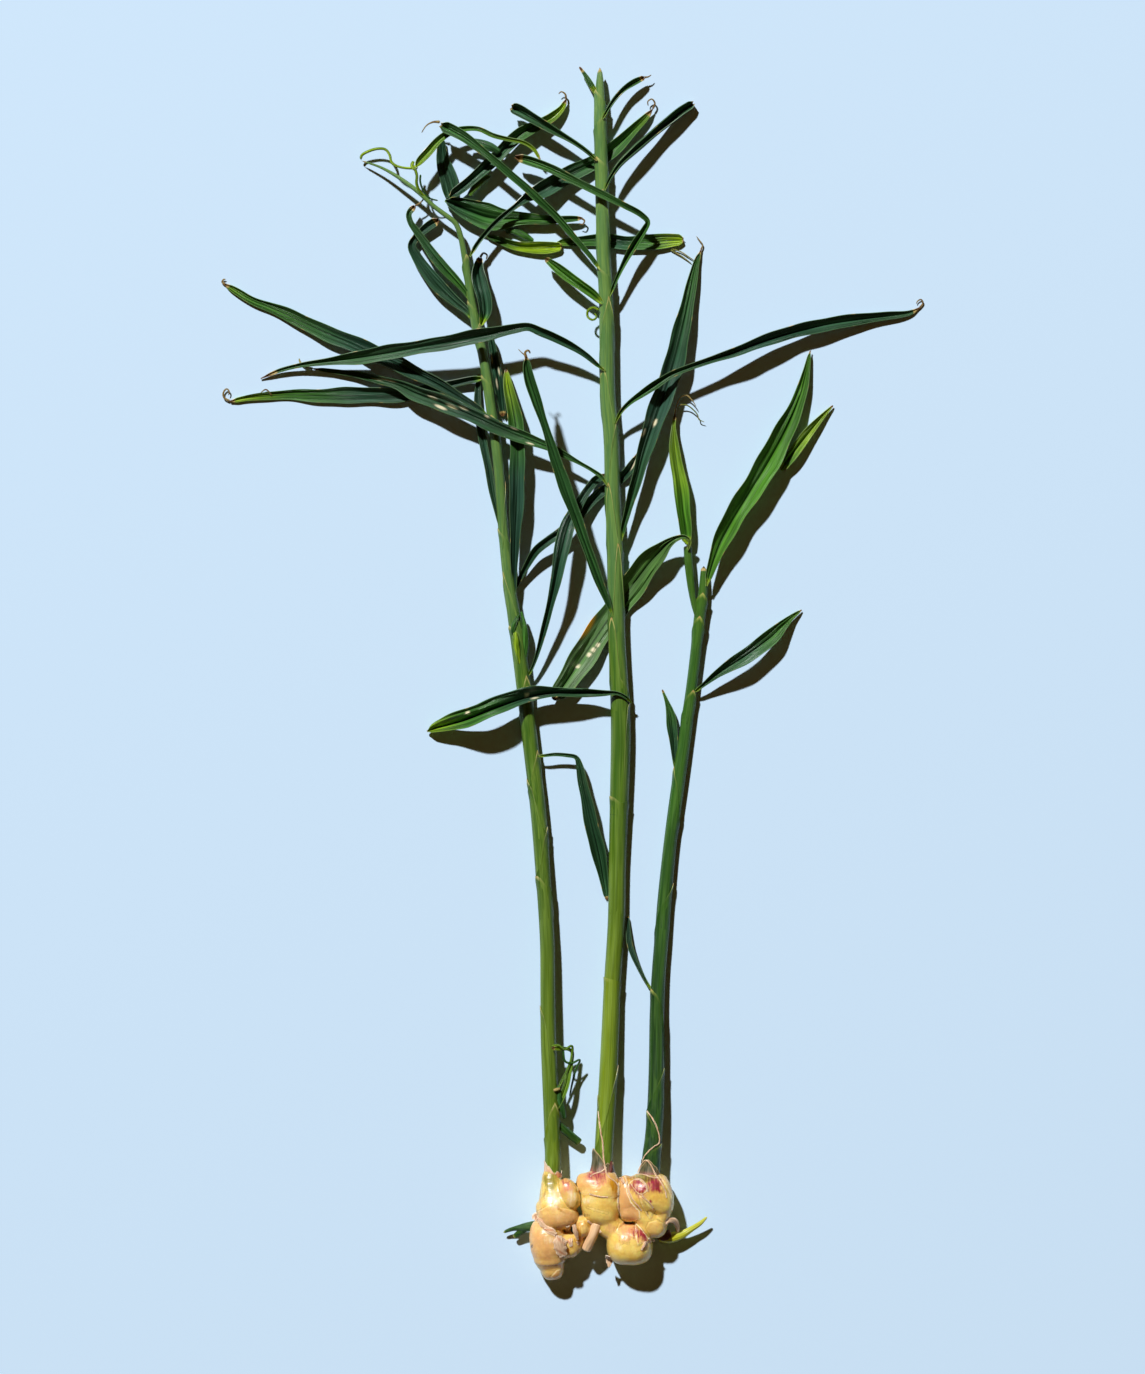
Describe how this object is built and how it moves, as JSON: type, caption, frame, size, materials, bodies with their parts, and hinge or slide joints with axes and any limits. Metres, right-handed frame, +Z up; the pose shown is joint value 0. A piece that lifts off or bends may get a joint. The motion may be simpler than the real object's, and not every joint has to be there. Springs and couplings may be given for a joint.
{
  "type": "young ginger plant",
  "caption": "Whole young ginger plant lying flat: knobbly rhizome with pink buds, tall leafy stems and long narrow blades with dry curled tips.",
  "frame": {"origin": "on the surface the plant lies on, below the centre of its outline", "axes": "+Y from the rhizome along the stems towards the leaf tips, +X to the right seen from above with the rhizome nearest, +Z up from the surface"},
  "size_m": [0.4188, 0.7265, 0.0431],
  "materials": {
    "rhizome_skin": "smooth, slightly waxy tan and yellow skin with pink bud tips",
    "stem_pale": "satin yellow-green leaf sheaths with fine lengthwise ribs",
    "stem_green": "satin mid-green leaf sheaths with pale thin edges",
    "leaf_dark": "dark bluish green blade, lengthwise veins, brown dry tip",
    "leaf_young": "lighter green blade with a pale back and midrib",
    "papery_sheath": "dry papery tan scale, thin and slightly shiny",
    "purple_sheath": "thin translucent purple-grey sheath with pink veins",
    "young_shoot": "yellow-green shoot in an orange-brown sheath",
    "root": "tan-pink root stub with a pale cut end"
  },
  "bodies": {
    "root": {"collar_left": "papery_sheath", "collar_middle": "purple_sheath", "collar_right": "purple_sheath", "cut_stalk": "stem_green", "leaf_left_01": "leaf_dark", "leaf_left_02": "leaf_dark", "leaf_left_03": "leaf_dark", "leaf_left_04": "leaf_dark", "leaf_left_05": "leaf_dark", "leaf_left_06": "leaf_dark", "leaf_left_07": "leaf_dark", "leaf_left_08": "leaf_dark", "leaf_left_09": "leaf_dark", "leaf_left_10": "leaf_dark", "leaf_left_11": "leaf_dark", "leaf_left_12": "leaf_dark", "leaf_left_13": "leaf_dark", "leaf_left_14": "leaf_dark", "leaf_left_15": "leaf_dark", "leaf_left_16": "leaf_dark", "leaf_left_17": "leaf_dark", "leaf_left_18": "leaf_dark", "leaf_left_19": "leaf_dark", "leaf_middle_01": "leaf_dark", "leaf_middle_02": "leaf_dark", "leaf_middle_03": "leaf_dark", "leaf_middle_04": "leaf_dark", "leaf_middle_05": "leaf_dark", "leaf_middle_06": "leaf_dark", "leaf_middle_07": "leaf_young", "leaf_middle_08": "leaf_dark", "leaf_middle_09": "leaf_dark", "leaf_middle_10": "leaf_dark", "leaf_middle_11": "leaf_dark", "leaf_middle_12": "leaf_dark", "leaf_middle_13": "leaf_dark", "leaf_right_01": "leaf_dark", "leaf_right_02": "leaf_dark", "leaf_right_03": "leaf_dark", "leaf_right_04": "leaf_young", "leaf_right_05": "leaf_young", "leaf_right_06": "leaf_young", "leaf_right_07": "leaf_young", "rhizome": "rhizome_skin", "root_stub": "root", "scale_left": "papery_sheath", "scale_middle": "papery_sheath", "side_shoot_left": "stem_green", "side_shoot_right": "young_shoot", "side_shoot_top": "stem_green", "stem_left": "stem_pale", "stem_middle": "stem_pale", "stem_right": "stem_green"}
  },
  "joints": []
}
